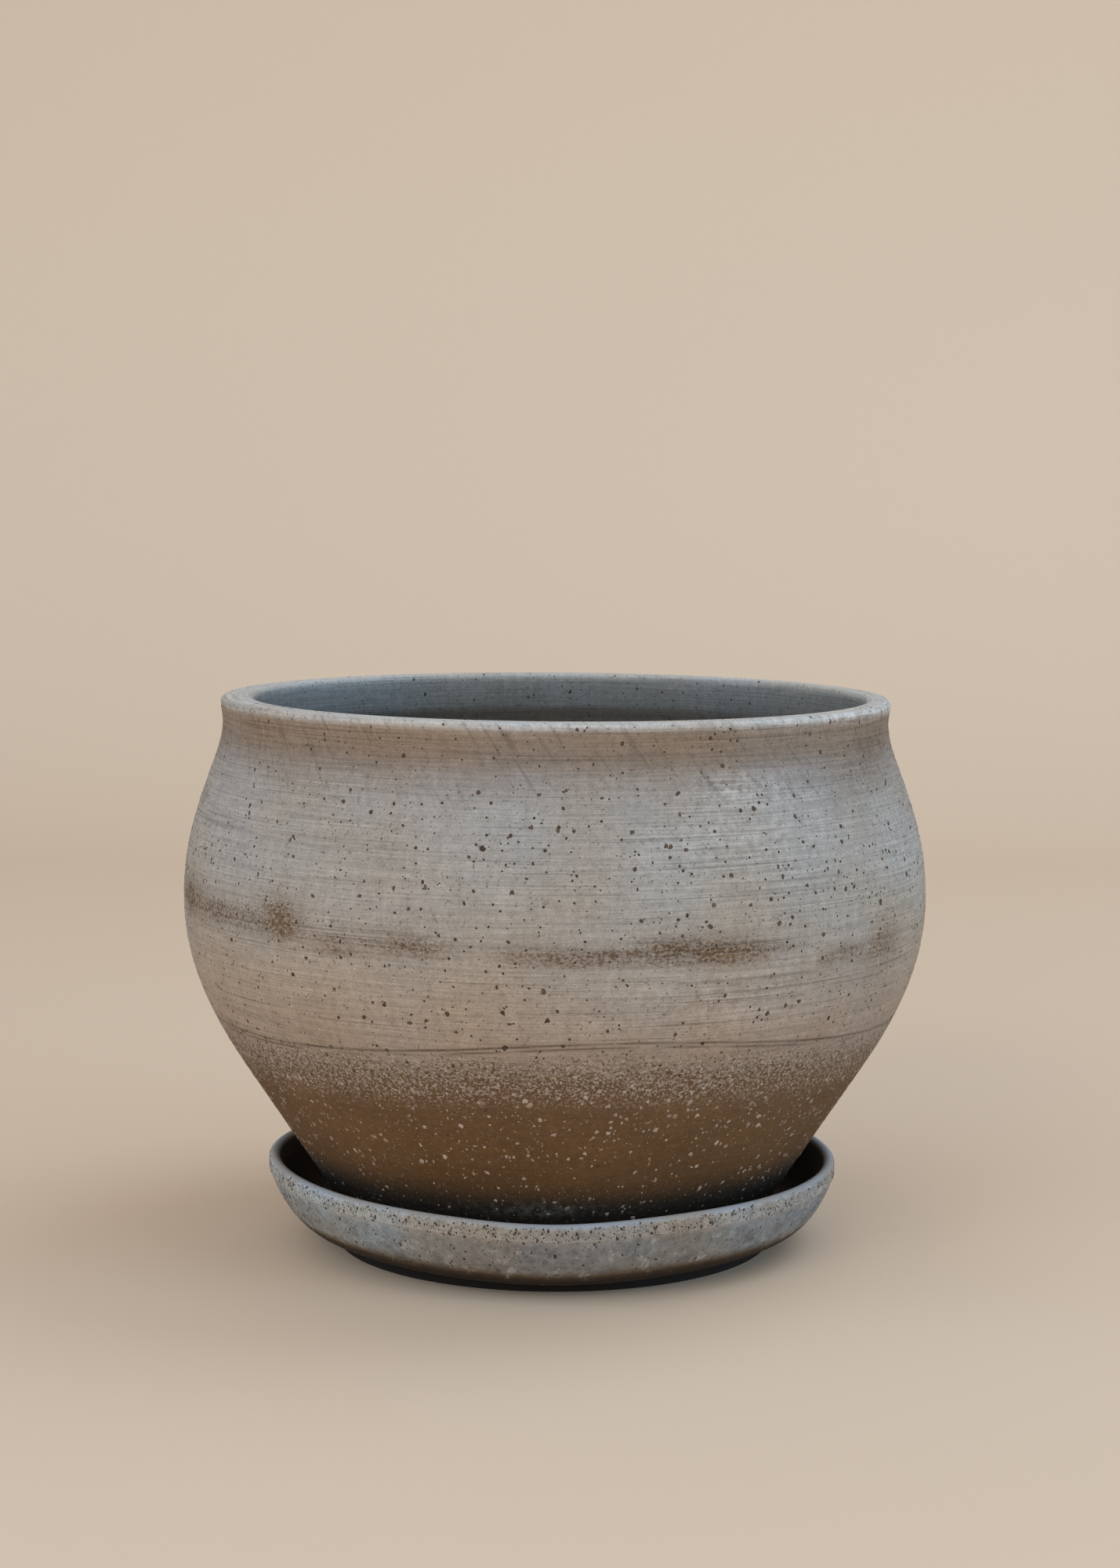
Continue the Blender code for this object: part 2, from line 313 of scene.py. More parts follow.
def pot_wall():
    """The outside of the pot from the lip's edge down to the bevel of the foot."""
    neck = (NECK_RADIUS, NECK_HEIGHT)
    turn = (TURN_RADIUS, TURN_HEIGHT)
    belly = (BELLY_RADIUS, BELLY_HEIGHT)
    lower = (STRAIGHT_RADIUS, STRAIGHT_HEIGHT)
    collar_pull = PULL * (NECK_HEIGHT - TURN_HEIGHT)
    shoulder_pull = PULL * (TURN_HEIGHT - BELLY_HEIGHT)
    belly_pull = PULL * (BELLY_HEIGHT - STRAIGHT_HEIGHT)
    edge = [(RIM_RADIUS, RIM_HEIGHT - LIP_ROUND)]
    collar = curve(
        neck,
        (neck[0], neck[1] - collar_pull),
        (turn[0] - TURN_SLOPE * collar_pull, turn[1] + collar_pull),
        turn,
    )
    shoulder = curve(
        turn,
        (turn[0] + TURN_SLOPE * shoulder_pull, turn[1] - shoulder_pull),
        (belly[0], belly[1] + shoulder_pull),
        belly,
    )
    underbelly = curve(
        belly,
        (belly[0], belly[1] - belly_pull),
        (lower[0] + LOWER_SLOPE * belly_pull, lower[1] + belly_pull),
        lower,
    )
    foot = [(FOOT_RADIUS + LOWER_SLOPE * FOOT_BEVEL, SEAT + FOOT_BEVEL)]
    return np.concatenate([edge, collar, shoulder[1:], underbelly[1:], foot])


def pot_inside():
    """The inside of the pot from the edge of its floor up to the throat."""
    wall_foot = STRAIGHT_RADIUS - LOWER_WALL - LOWER_SLOPE * (STRAIGHT_HEIGHT - POT_FLOOR)
    lower = (STRAIGHT_RADIUS - LOWER_WALL, STRAIGHT_HEIGHT)
    belly = (BELLY_RADIUS - BELLY_WALL, BELLY_HEIGHT)
    throat = (COLLAR_RADIUS, THROAT_HEIGHT)
    belly_pull = PULL * (BELLY_HEIGHT - STRAIGHT_HEIGHT)
    throat_rise = THROAT_HEIGHT - BELLY_HEIGHT
    corner = (wall_foot, POT_FLOOR)
    floor_round = curve(
        (wall_foot - FLOOR_ROUND, POT_FLOOR),
        corner,
        corner,
        (wall_foot + LOWER_SLOPE * FLOOR_ROUND, POT_FLOOR + FLOOR_ROUND),
    )
    lower_wall = curve(
        lower,
        (lower[0] + LOWER_SLOPE * belly_pull, lower[1] + belly_pull),
        (belly[0], belly[1] - belly_pull),
        belly,
    )
    upper_wall = curve(
        belly,
        (belly[0], belly[1] + PULL * throat_rise),
        (throat[0] + PULL * (belly[0] - throat[0]), throat[1] - UNDERCUT * throat_rise),
        throat,
    )
    return np.concatenate([floor_round, lower_wall, upper_wall[1:]])


def pot_outline():
    """From the lip's outer edge down the outside, underneath, up the inside and over the lip."""
    outline = Outline()
    lip_height = RIM_HEIGHT - LIP_ROUND
    outline.add("lip_edge", arc((RIM_RADIUS - LIP_ROUND, lip_height), LIP_ROUND, 90, 0), FINE_ROW)
    upper, lines, lower = cut_at(pot_wall(), (ZONE_TOP, ZONE_FOOT))
    outline.add("upper_wall", upper, WALL_ROW)
    outline.add("line_zone", lines, FINE_ROW)
    outline.add("lower_wall", lower, WALL_ROW)
    ring = FOOT_RADIUS - FOOT_BEVEL - FOOT_RING
    hollow = SEAT + FOOT_RECESS
    hole_edge = POT_FLOOR - DRAIN_ROUND
    foot = (FOOT_RADIUS - FOOT_BEVEL, SEAT)
    outline.add("foot_bevel", straight(lower[-1], foot), FOOT_BEVEL, 0.3)
    outline.add("foot_ring", straight(foot, (ring, SEAT)), FLAT_ROW, 0.3)
    outline.add("recess", straight((ring, SEAT), (ring - FOOT_RECESS, hollow)), FLAT_ROW, 0.3)
    outline.add("underside", straight((ring - FOOT_RECESS, hollow), (DRAIN_RADIUS, hollow)), FLAT_ROW, 0.3)
    outline.add("hole", straight((DRAIN_RADIUS, hollow), (DRAIN_RADIUS, hole_edge)), INNER_ROW, 0.3)
    hole_round = arc((DRAIN_RADIUS + DRAIN_ROUND, hole_edge), DRAIN_ROUND, 180, 90)
    outline.add("hole_edge", hole_round, FINE_ROW, 0.3)
    inside = pot_inside()
    outline.add("floor", straight((DRAIN_RADIUS + DRAIN_ROUND, POT_FLOOR), inside[0]), FLAT_ROW, 0.3)
    outline.add("inside", inside, INNER_ROW, 0.4)
    outline.add("throat", straight(inside[-1], (COLLAR_RADIUS, lip_height)), WALL_ROW)
    outline.add("bore_edge", arc((COLLAR_RADIUS + LIP_ROUND, lip_height), LIP_ROUND, 180, 90), FINE_ROW)
    lip = straight((COLLAR_RADIUS + LIP_ROUND, RIM_HEIGHT), (RIM_RADIUS - LIP_ROUND, RIM_HEIGHT))
    outline.add("lip", lip, WALL_ROW)
    return outline


def saucer_outline():
    """From near the middle of the floor out over the lip, down the outside and in under the foot."""
    outline = Outline()
    half_lip = SAUCER_LIP / 2
    bore = SAUCER_RADIUS - SAUCER_LIP
    lip_height = SAUCER_HEIGHT - half_lip
    bowl = curve(
        (FLOOR_RADIUS, SAUCER_FLOOR),
        (FLOOR_RADIUS + BOWL * (bore - FLOOR_RADIUS), SAUCER_FLOOR),
        (bore - BOWL_LEAN * (bore - FLOOR_RADIUS), lip_height - BOWL * (lip_height - SAUCER_FLOOR)),
        (bore, lip_height),
    )
    top = (SAUCER_RADIUS - BAND_STEP, RIDGE_HEIGHT - BAND_STEP)
    spread = top[0] - FLOOR_RADIUS
    fall = top[1] - SAUCER_LIFT
    wall = curve(
        top,
        (top[0] - WALL_TUCK * spread, top[1] - WALL_FALL * fall),
        (top[0] - WALL_FALL * spread, SAUCER_LIFT),
        (FLOOR_RADIUS, SAUCER_LIFT),
    )
    ridge = (SAUCER_RADIUS, RIDGE_HEIGHT)
    outline.add("floor", straight((POLE, SAUCER_FLOOR), bowl[0]), FLAT_ROW, 0.4)
    outline.add("bowl", bowl, WALL_ROW)
    outline.add("lip", arc((SAUCER_RADIUS - half_lip, lip_height), half_lip, 180, 0), FINE_ROW)
    outline.add("band", straight((SAUCER_RADIUS, lip_height), ridge), FINE_ROW)
    outline.add("ridge", straight(ridge, top), BAND_STEP)
    outline.add("wall", wall, WALL_ROW / 2)
    outline.add("under", straight(wall[-1], (SAUCER_FOOT, SAUCER_LIFT)), INNER_ROW, 0.5)
    outline.add("foot_side", straight((SAUCER_FOOT, SAUCER_LIFT), (SAUCER_FOOT, 0.0)), INNER_ROW / 2)
    outline.add("foot", straight((SAUCER_FOOT, 0.0), (POLE, 0.0)), FLAT_ROW, 0.3)
    return outline


# Unevenness

def fade(value, low, high):
    """Smooth step from 0 at low to 1 at high."""
    t = np.clip((value - low) / (high - low), 0, 1)
    return t * t * (3 - 2 * t)


def bump(value, width):
    return np.exp(-((value / width) ** 2))


def from_turn(turn, centre):
    """Angle from a centre, between minus and plus half a turn."""
    return (turn - centre + math.pi) % (2 * math.pi) - math.pi


def hump(turn, centre, spread):
    return bump(from_turn(turn, centre), spread)


def waves(along, turn, lengths, seed):
    """Gentle seeded unevenness along and around a wall, between -1 and 1."""
    draw = random.Random(seed)
    total = 0.0
    for length in lengths:
        phase = draw.uniform(0, 2 * math.pi)
        around = draw.choice((-2, -1, 1, 2))
        total = total + np.sin(2 * math.pi * along / length + around * turn + phase)
    return total / len(lengths)


def broken(turn, seed):
    """Strength of a hand-turned line around the pot, which comes and goes, from 0 to 1."""
    draw = random.Random(seed)
    total = 0.0
    for around in (3, 5, 8, 13, 21, 34):
        total = total + np.sin(around * turn + draw.uniform(0, 2 * math.pi))
    return fade(total, -2.2, 1.6)


def line_height(turn):
    return LINE_HEIGHT + LINE_RISE * hump(turn, LINE_TURN, LINE_SPREAD)


def spray_height(turn):
    return SPRAY_HEIGHT + SPRAY_RISE * hump(turn, SPRAY_TURN, SPRAY_SPREAD)


# Meshes

def turn_angles():
    return 2 * math.pi * np.arange(TURNS) / TURNS


def normals(outline, along):
    """Outward direction of the outline, as parts along the radius and the height."""
    step = 0.2 * MM
    before = outline.place(along - step)
    after = outline.place(along + step)
    run = after[0] - before[0]
    fall = after[1] - before[1]
    size = np.maximum(np.hypot(run, fall), 1e-9)
    return -fall / size, run / size


def as_piece(mesh, material):
    """Puts a mesh into the scene, smooth but for its sharp edges."""
    mesh.shade_smooth()
    mesh.set_sharp_from_angle(angle=SHARP_ANGLE)
    mesh.materials.append(material)
    piece = bpy.data.objects.new(mesh.name, mesh)
    bpy.context.scene.collection.objects.link(piece)
    return piece


def bake_map(outline, row, column):
    """Texture map of two half turns, one above the other, with room by the outline's shares."""
    half = TURNS // 2
    ends = np.concatenate([[0.0], np.cumsum(outline.shares)])
    ends = ends / ends[-1]
    side = column // half
    left = (column - side * half) / half
    right = left + 1 / half
    low = (side + 0.01 + 0.98 * ends[row]) / 2
    high = (side + 0.01 + 0.98 * ends[row + 1]) / 2
    corners = [(left, low), (left, high), (right, high), (right, low)]
    return np.stack([np.stack(corner, axis=-1) for corner in corners], axis=1)


def turned(name, outline, points, values, material):
    """A piece from a grid of points turned about the axis, with named values at the corners of its faces.

    Where the grid closes on itself, the values have one row more than the points. Where it doesn't, fans of
    triangles close its two ends.
    """
    rows = len(points)
    last_row = len(values["along"]) - 1
    row, column = [index.ravel() for index in np.indices((last_row, TURNS))]
    following = (column + 1) % TURNS
    places = [(row, column), (row + 1, column), (row + 1, following), (row, following)]
    faces = np.stack([(r % rows) * TURNS + c for r, c in places], axis=1).tolist()
    uv = bake_map(outline, row, column).reshape(-1, 2)
    corners = points.reshape(-1, 3)
    ends = []
    if last_row < rows:
        step = np.arange(TURNS)
        after = (step + 1) % TURNS
        poles = [(0.0, 0.0, points[0, :, 2].mean()), (0.0, 0.0, points[-1, :, 2].mean())]
        first_pole = len(corners)
        corners = np.concatenate([corners, poles])
        fans = [(first_pole, 0, step, after), (first_pole + 1, rows - 1, after, step)]
        for pole, end, start, finish in fans:
            ends.append([(end, start), (end, start), (end, finish)])
            triangles = [np.full(TURNS, pole), end * TURNS + start, end * TURNS + finish]
            faces += np.stack(triangles, axis=1).tolist()
        uv = np.concatenate([uv, np.zeros((6 * TURNS, 2))])
    mesh = bpy.data.meshes.new(name)
    mesh.from_pydata(corners.tolist(), [], faces)
    mesh.uv_layers.new(name="OFBake").data.foreach_set("uv", uv.ravel())
    for key, value in values.items():
        at_corners = [np.stack([value[r, c] for r, c in group], axis=1) for group in [places] + ends]
        flat = np.concatenate([group.ravel() for group in at_corners])
        vector = value.ndim == 3
        layer = mesh.attributes.new(key, "FLOAT_VECTOR" if vector else "FLOAT", "CORNER")
        layer.data.foreach_set("vector" if vector else "value", flat)
    return as_piece(mesh, material)


def on_wheel(along, turn, lean=0.0):
    """Points on an even drum, for patterns that run around a wall; lean makes them slant."""
    slant = turn + lean * along / BELLY_RADIUS
    return np.stack([BELLY_RADIUS * np.sin(slant), -BELLY_RADIUS * np.cos(slant), along], axis=-1)


def patches(places, height, turn):
    """Strength of soft patches at places on the pot."""
    total = np.zeros(height.shape)
    for centre, level, wide, tall, strength in places:
        around = hump(turn, math.radians(centre), math.radians(wide))
        total = total + strength * around * bump(height - level * MM, tall * MM)
    return np.minimum(total, 1.0)


def pot_surface(outline, along, turn, lift):
    """Points of the pot's uneven surface at distances along its outline, lifted off it a little."""
    radius, height = outline.place(along)
    out, up = normals(outline, along)
    top = outline.spans["upper_wall"][0][0]
    foot = outline.spans["foot_bevel"][0][0]
    inside, throat = outline.spans["inside"][0][[0, -1]]
    ringed = fade(along, top, top + RING_FADE) * (1 - fade(along, foot - RING_FADE, foot))
    fingered = fade(along, inside, inside + FLOOR_FADE) * (1 - fade(along, throat - THROAT_FADE, throat))
    lift = lift + RING_DEPTH * ringed * waves(along, turn, RING_LENGTHS, RING_SEED)
    lift = lift + INNER_DEPTH * fingered * waves(along, turn, INNER_LENGTHS, INNER_SEED)
    radius = radius + lift * out
    height = height + lift * up
    lip_start, lip_end = outline.spans["lip"][0][[0, -1]]
    opening = fade(along, outline.distance("inside", BELLY_HEIGHT), throat)
    bore = opening * (1 - fade(along, lip_start, lip_end))
    rim = fade(height, NECK_HEIGHT - RIM_FADE, RIM_HEIGHT)
    x = radius * np.sin(turn) + BORE_SHIFT * bore
    y = -radius * np.cos(turn)
    z = height - RIM_DIP * rim * (1 + np.sin(turn))
    return np.stack([x, y, z], axis=-1)


def pot(material, outline):
    turn = turn_angles()[None, :]
    rows = np.append(outline.rows, outline.along[-1])[:, None]
    middle = outline.distance("line_zone", LINE_HEIGHT)
    stretches = [outline.spans[name] for name in ("upper_wall", "line_zone", "lower_wall")]
    wall_along = np.concatenate([stretch[0] for stretch in stretches])
    wall = np.concatenate([stretch[1] for stretch in stretches])
    shift = np.interp(-line_height(turn), -wall[:, 1], wall_along) - middle
    top = outline.distance("line_zone", ZONE_TOP)
    foot = outline.distance("line_zone", ZONE_FOOT)
    follow = fade(rows, top - ZONE_FADE, top) * (1 - fade(rows, foot, foot + ZONE_FADE))
    along = rows + shift * follow
    below_line = rows - middle + 0 * turn
    first = bump(below_line, LINE_WIDTH) * (0.6 + 0.4 * broken(turn, LINE_SEED))
    second = bump(below_line - SECOND_LINE, LINE_WIDTH) * 0.8 * broken(turn, SECOND_SEED)
    groove = np.maximum(first, second)
    points = pot_surface(outline, along, turn, -LINE_DEPTH * groove)
    height = points[..., 2]
    foot_end = outline.spans["foot_bevel"][0][-1]
    outside = 1 - fade(rows, foot_end, foot_end + 2 * MM)
    values = {
        "along": along,
        "wheel": on_wheel(along, turn),
        "drag": on_wheel(along, turn, DRAG_LEAN),
        "below": (spray_height(turn) - height) * outside - 0.1 * (1 - outside),
        "smudge": patches(SMUDGES, height, turn) * outside,
        "pale": patches(PALE_SLIP_AND_PAINTED_LIGHT, height, turn) * outside,
        "grey_patch": patches(GREY_FOOT_PATCHES, height, turn) * outside,
        "groove": groove,
    }
    piece = turned("pot_body", outline, points[:-1], values, material)
    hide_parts("pot")
    return finish_piece(piece, "pot")


def saucer_surface(outline, along, turn, lift):
    """Points of the saucer's surface at distances along its outline, lifted off it a little."""
    radius, height = outline.place(along)
    out, up = normals(outline, along)
    radius = radius + lift * out
    height = height + lift * up
    lip = fade(radius, FLOOR_RADIUS, SAUCER_RADIUS)
    warp = SAUCER_RISE * hump(turn, RISE_TURN, RISE_SPREAD) - SAUCER_DIP * hump(turn, 0.0, DIP_SPREAD)
    wall_top, wall_foot = outline.spans["wall"][0][[0, -1]]
    foot_top, foot_end = outline.spans["foot_side"][0][[0, -1]]
    under = fade(along, wall_top, wall_foot) * (1 - fade(along, foot_top, foot_end))
    x = radius * np.sin(turn) - SAUCER_SHIFT * lip
    y = -radius * np.cos(turn)
    z = height + warp * lip - UNDER_DIP * under * hump(turn, 0.0, UNDER_SPREAD)
    return np.stack([x, y, z], axis=-1)


def saucer(material, outline):
    turn = turn_angles()[None, :]
    along = outline.rows[:, None] + 0 * turn
    points = saucer_surface(outline, along, turn, 0.0)
    # Painted light on the saucer: warm light at the front, and cool blue light towards the sides, strongest
    # at the left
    painted_warm_light = hump(turn, PAINTED_WARM_LIGHT_TURN, PAINTED_WARM_LIGHT_SPREAD)
    painted_cool_light = (1 - painted_warm_light) * (0.7 - 0.35 * np.sin(turn)) + 0 * along
    values = {"along": along, "wheel": on_wheel(along, turn), "painted_cool_light": painted_cool_light}
    piece = turned("saucer_body", outline, points, values, material)
    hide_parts("saucer")
    return finish_piece(piece, "saucer")


# Grains

def scattered(draw, outline, first, last, share, chance, grouped=GROUPED, spread=GROUP_SPREAD):
    """Seeded spots between two distances along an outline: share on a square metre, thinned out by a chance.

    A share of the spots lie grouped, spread about another one.
    """
    tries = round(share * 2 * math.pi * BELLY_RADIUS * (last - first))
    along = draw.uniform(first, last, tries)
    turn = draw.uniform(-math.pi, math.pi, tries)
    partner = draw.integers(0, tries, tries)
    joins = draw.random(tries) < grouped
    along = np.where(joins, along[partner] + draw.normal(0, spread, tries), along)
    turn = np.where(joins, turn[partner] + draw.normal(0, spread, tries) / BELLY_RADIUS, turn)
    radius, height = outline.place(along)
    kept = draw.random(tries) < chance(height, turn) * radius / BELLY_RADIUS
    kept &= (along > first) & (along < last)
    return along[kept], turn[kept]


def joined(*groups):
    """Groups of spots put together, column by column."""
    return [np.concatenate(column) for column in zip(*groups)]


def sizes(draw, count, smallest, excess, largest):
    """Seeded sizes, of which many are small and few are large."""
    return np.minimum(smallest + draw.exponential(excess, count), largest)


def grains(name, where, spots, rise, ragged, draw, material):
    """Flat ragged grains, as one piece. A spot is a distance along, a turn and a size.

    Where they are seated: a node, its surface and its outline.
    """
    node, surface, outline = where
    along, turn, size = [column[:, None] for column in spots]
    count = len(size)
    angle = 2 * math.pi * np.arange(GRAIN_SIDES) / GRAIN_SIDES + draw.uniform(0, 2 * math.pi, (count, 1))
    reach = size / 2 * draw.uniform(1 - ragged, 1 + ragged, (count, GRAIN_SIDES))

    def ring(share, lift):
        around = share * reach * np.cos(angle)
        down = share * reach * np.sin(angle)
        return surface(outline, along + down, turn + around / BELLY_RADIUS, lift)

    middle = surface(outline, along, turn, 1.2 * rise)
    points = np.concatenate([ring(1.0, -GRAIN_SUNK), ring(0.7, rise), middle], axis=1)
    faces = [list(range(GRAIN_SIDES))]
    for side in range(GRAIN_SIDES):
        following = (side + 1) % GRAIN_SIDES
        faces.append([following, side, GRAIN_SIDES + side, GRAIN_SIDES + following])
        faces.append([GRAIN_SIDES + following, GRAIN_SIDES + side, 2 * GRAIN_SIDES])
    each = 2 * GRAIN_SIDES + 1
    mesh = bpy.data.meshes.new(name)
    all_faces = [[each * grain + corner for corner in face] for grain in range(count) for face in faces]
    mesh.from_pydata(points.reshape(-1, 3).tolist(), [], all_faces)
    core = np.concatenate([np.zeros(GRAIN_SIDES), np.full(GRAIN_SIDES, 0.4), [1.0]])
    core = core * fade(size, 0.7 * MM, 1.5 * MM)
    mesh.attributes.new("core", "FLOAT", "POINT").data.foreach_set("value", core.ravel())
    tone = np.repeat(draw.random(count), each)
    mesh.attributes.new("tone", "FLOAT", "POINT").data.foreach_set("value", tone)
    return finish_piece(as_piece(mesh, material), node)


def pot_grog(outline, material):
    """Dark grains in the slip outside, on the lip and in the throat, with the largest at their own places."""
    draw = np.random.default_rng(GROG_SEED)

    def outside_chance(height, turn):
        bare = fade(spray_height(turn) - height, -4 * MM, 6 * MM)
        middle = 0.6 + 0.4 * bump(height - 127 * MM, 30 * MM)
        return middle * (1 - 0.9 * bare)

    def inside_chance(height, turn):
        return 0.4 + 0 * height

    foot = outline.spans["foot_bevel"][0][0]
    upper = outline.distance("inside", BELLY_HEIGHT)
    along, turn = joined(
        scattered(draw, outline, 0.0, foot, GROG_SHARE, outside_chance),
        scattered(draw, outline, upper, outline.along[-1], GROG_SHARE, inside_chance),
    )
    size = sizes(draw, len(along), *GROG_SIZES)
    large = np.array(LARGE_GROG)
    wall = outline.spans["upper_wall"]
    large_along = np.interp(-large[:, 1] * MM, -wall[1][:, 1], wall[0])
    large_spots = (large_along, np.radians(large[:, 0]), large[:, 2] * MM)
    spots = joined((along, turn, size), large_spots)
    where = ("pot", pot_surface, outline)
    return grains("pot_grog", where, spots, GRAIN_SUNK, GROG_RAGGED, draw, material)


def pot_flecks(outline, material):
    """Flecks of pale slip on the clay, thick at the slip's edge and thinner towards the foot."""
    draw = np.random.default_rng(FLECK_SEED)

    def chance(height, turn):
        below = spray_height(turn) - height
        return fade(below, -5 * MM, 3 * MM) * np.exp(-np.maximum(below, 0) / FLECK_REACH)

    first = outline.distance("upper_wall", FLECK_TOP)
    last = outline.spans["foot_bevel"][0][0] - 2 * MM
    along, turn = scattered(draw, outline, first, last, FLECK_SHARE, chance)
    spots = (along, turn, sizes(draw, len(along), *FLECK_SIZES))
    where = ("pot", pot_surface, outline)
    return grains("pot_flecks", where, spots, FLECK_RISE, FLECK_RAGGED, draw, material)


def saucer_grog(outline, material):
    """Dark grains in the saucer: fine ones crowd the band, and others lie on the wall and in the bowl."""
    draw = np.random.default_rng(SAUCER_SEED)

    def even(height, turn):
        return 1.0 + 0 * height

    def crowded(height, turn):
        return 0.35 + 0.65 * hump(turn, CROWD_TURN, CROWD_SPREAD)

    band_top = outline.spans["lip"][0].mean() + 1.7 * MM
    wall_top, wall_foot = outline.spans["wall"][0][[0, -1]]
    band = scattered(draw, outline, band_top, wall_top, BAND_SHARE, even, BAND_GROUPED, BAND_SPREAD)
    wall = scattered(draw, outline, wall_top, wall_foot, WALL_SHARE, crowded)
    bowl = scattered(draw, outline, outline.spans["bowl"][0][0], band_top, 0.4 * GROG_SHARE, even)
    band_size = sizes(draw, len(band[0]), *BAND_SIZES)
    wall_size = sizes(draw, len(wall[0]), *WALL_SIZES)
    bowl_size = sizes(draw, len(bowl[0]), *BOWL_SIZES)
    spots = joined((*band, band_size), (*wall, wall_size), (*bowl, bowl_size))
    where = ("saucer", saucer_surface, outline)
    return grains("saucer_grog", where, spots, GRAIN_SUNK, GROG_RAGGED, draw, material)


def finish_piece(piece, node):
    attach(piece, node)
    return piece


# Materials

class Recipe:
    """A material put together from plain calls, most of which add a node and give its output."""

    def __init__(self, name, roughness, shine):
        self.material = bpy.data.materials.new(name)
        self.material.use_nodes = True
        self.tree = self.material.node_tree
        self.shader = self.tree.nodes["Principled BSDF"]
        self.shader.inputs["Roughness"].default_value = roughness
        self.shader.inputs["Specular IOR Level"].default_value = shine

    def feed(self, socket, value):
        if isinstance(value, bpy.types.NodeSocket):
            self.tree.links.new(value, socket)
        else:
            socket.default_value = value

    def add(self, kind, inputs, **settings):
        node = self.tree.nodes.new("ShaderNode" + kind)
        for key, value in settings.items():
            setattr(node, key, value)
        for key, value in inputs.items():
            self.feed(node.inputs[key], value)
        return node

    def place(self):
        return self.add("TexCoord", {}).outputs["Object"]

    def value(self, name):
        return self.add("Attribute", {}, attribute_name=name).outputs["Fac"]

    def vector(self, name):
        return self.add("Attribute", {}, attribute_name=name).outputs["Vector"]

    def maths(self, operation, first, second=0.0):
        return self.add("Math", {0: first, 1: second}, operation=operation).outputs[0]

    def times(self, first, *others):
        for other in others:
            first = self.maths("MULTIPLY", first, other)
        return first

    def swing(self, value, amount):
        """A factor that swings about 1 as a noise swings about one half."""
        return self.add("Math", {0: value, 1: amount, 2: 1 - amount / 2}, operation="MULTIPLY_ADD").outputs[0]

    def less(self, share, amount):
        """A factor that falls below 1 by an amount where a share is 1."""
        return self.add("Math", {0: share, 1: -amount, 2: 1.0}, operation="MULTIPLY_ADD").outputs[0]

    def between(self, value, low, high):
        """Smooth step from 0 at low to 1 at high."""
        inputs = {"Value": value, "From Min": low, "From Max": high}
        return self.add("MapRange", inputs, interpolation_type="SMOOTHSTEP").outputs[0]

    def mix(self, share, first, second):
        return self.add("Mix", {0: share, 6: first, 7: second}, data_type="RGBA").outputs[2]

    def mix_value(self, share, first, second):
        return self.add("Mix", {0: share, 2: first, 3: second}).outputs[0]

    def scaled(self, colour, amount):
        return self.add("VectorMath", {0: colour, "Scale": amount}, operation="SCALE").outputs[0]

    def tinted(self, colour, tint):
        return self.add("VectorMath", {0: colour, 1: tint}, operation="MULTIPLY").outputs[0]

    def stretched(self, place, around, up):
        return self.add("VectorMath", {0: place, 1: (around, around, up)}, operation="MULTIPLY").outputs[0]

    def noise(self, place, scale, detail=2.0, roughness=0.5):
        inputs = {"Vector": place, "Scale": scale, "Detail": detail, "Roughness": roughness}
        return self.add("TexNoise", inputs).outputs[0]

    def wobbled(self, place, scale, amount):
        """Places pushed about by noise, which makes round marks ragged."""
        push = self.add("TexNoise", {"Vector": place, "Scale": scale, "Detail": 1.0}).outputs["Color"]
        centred = self.add("VectorMath", {0: push, 1: (0.5, 0.5, 0.5)}, operation="SUBTRACT").outputs[0]
        return self.add("VectorMath", {0: self.scaled(centred, amount), 1: place}, operation="ADD").outputs[0]

    def specks(self, place, scale, share, size):
        """Mask of specks: a share of the cells hold one, up to size in widths of a cell."""
        cell = self.add("TexVoronoi", {"Vector": place, "Scale": scale})
        chance = self.add("SeparateColor", {0: cell.outputs["Color"]}).outputs[0]
        inputs = {"Value": chance, "From Min": 1.0 - share, "From Max": 1.0, "To Max": size}
        grown = self.add("MapRange", inputs).outputs[0]
        return self.between(self.maths("SUBTRACT", grown, cell.outputs["Distance"]), 0.0, 0.03)

    def ramp(self, value, stops):
        """Colours at places from 0 to 1, given in any order."""
        node = self.add("ValToRGB", {0: value})
        elements = node.color_ramp.elements
        while len(elements) < len(stops):
            elements.new(0.5)
        for element, (position, colour) in zip(elements, sorted(stops)):
            element.position = position
            element.color = (*colour, 1.0)
        return node.outputs[0]

    def painted(self, colour):
        self.feed(self.shader.inputs["Base Color"], colour)

    def bumped(self, height, depth):
        inputs = {"Height": height, "Distance": depth, "Strength": 1.0}
        self.feed(self.shader.inputs["Normal"], self.add("Bump", inputs).outputs[0])


def turning_lines(make, wheel):
    """Hairlines that the turning tool left: a noise of fine lines, and a mask of darker ones in groups."""
    lines = make.noise(make.stretched(wheel, 26, 1700), 1.0, 3.0, 0.8)
    threads = make.noise(make.stretched(wheel, 14, 1900), 1.0, 1.0)
    groups = make.noise(make.stretched(wheel, 16, 150), 1.0, 2.0)
    dark = make.times(make.between(threads, 0.60, 0.68), make.between(groups, 0.36, 0.64))
    return lines, dark


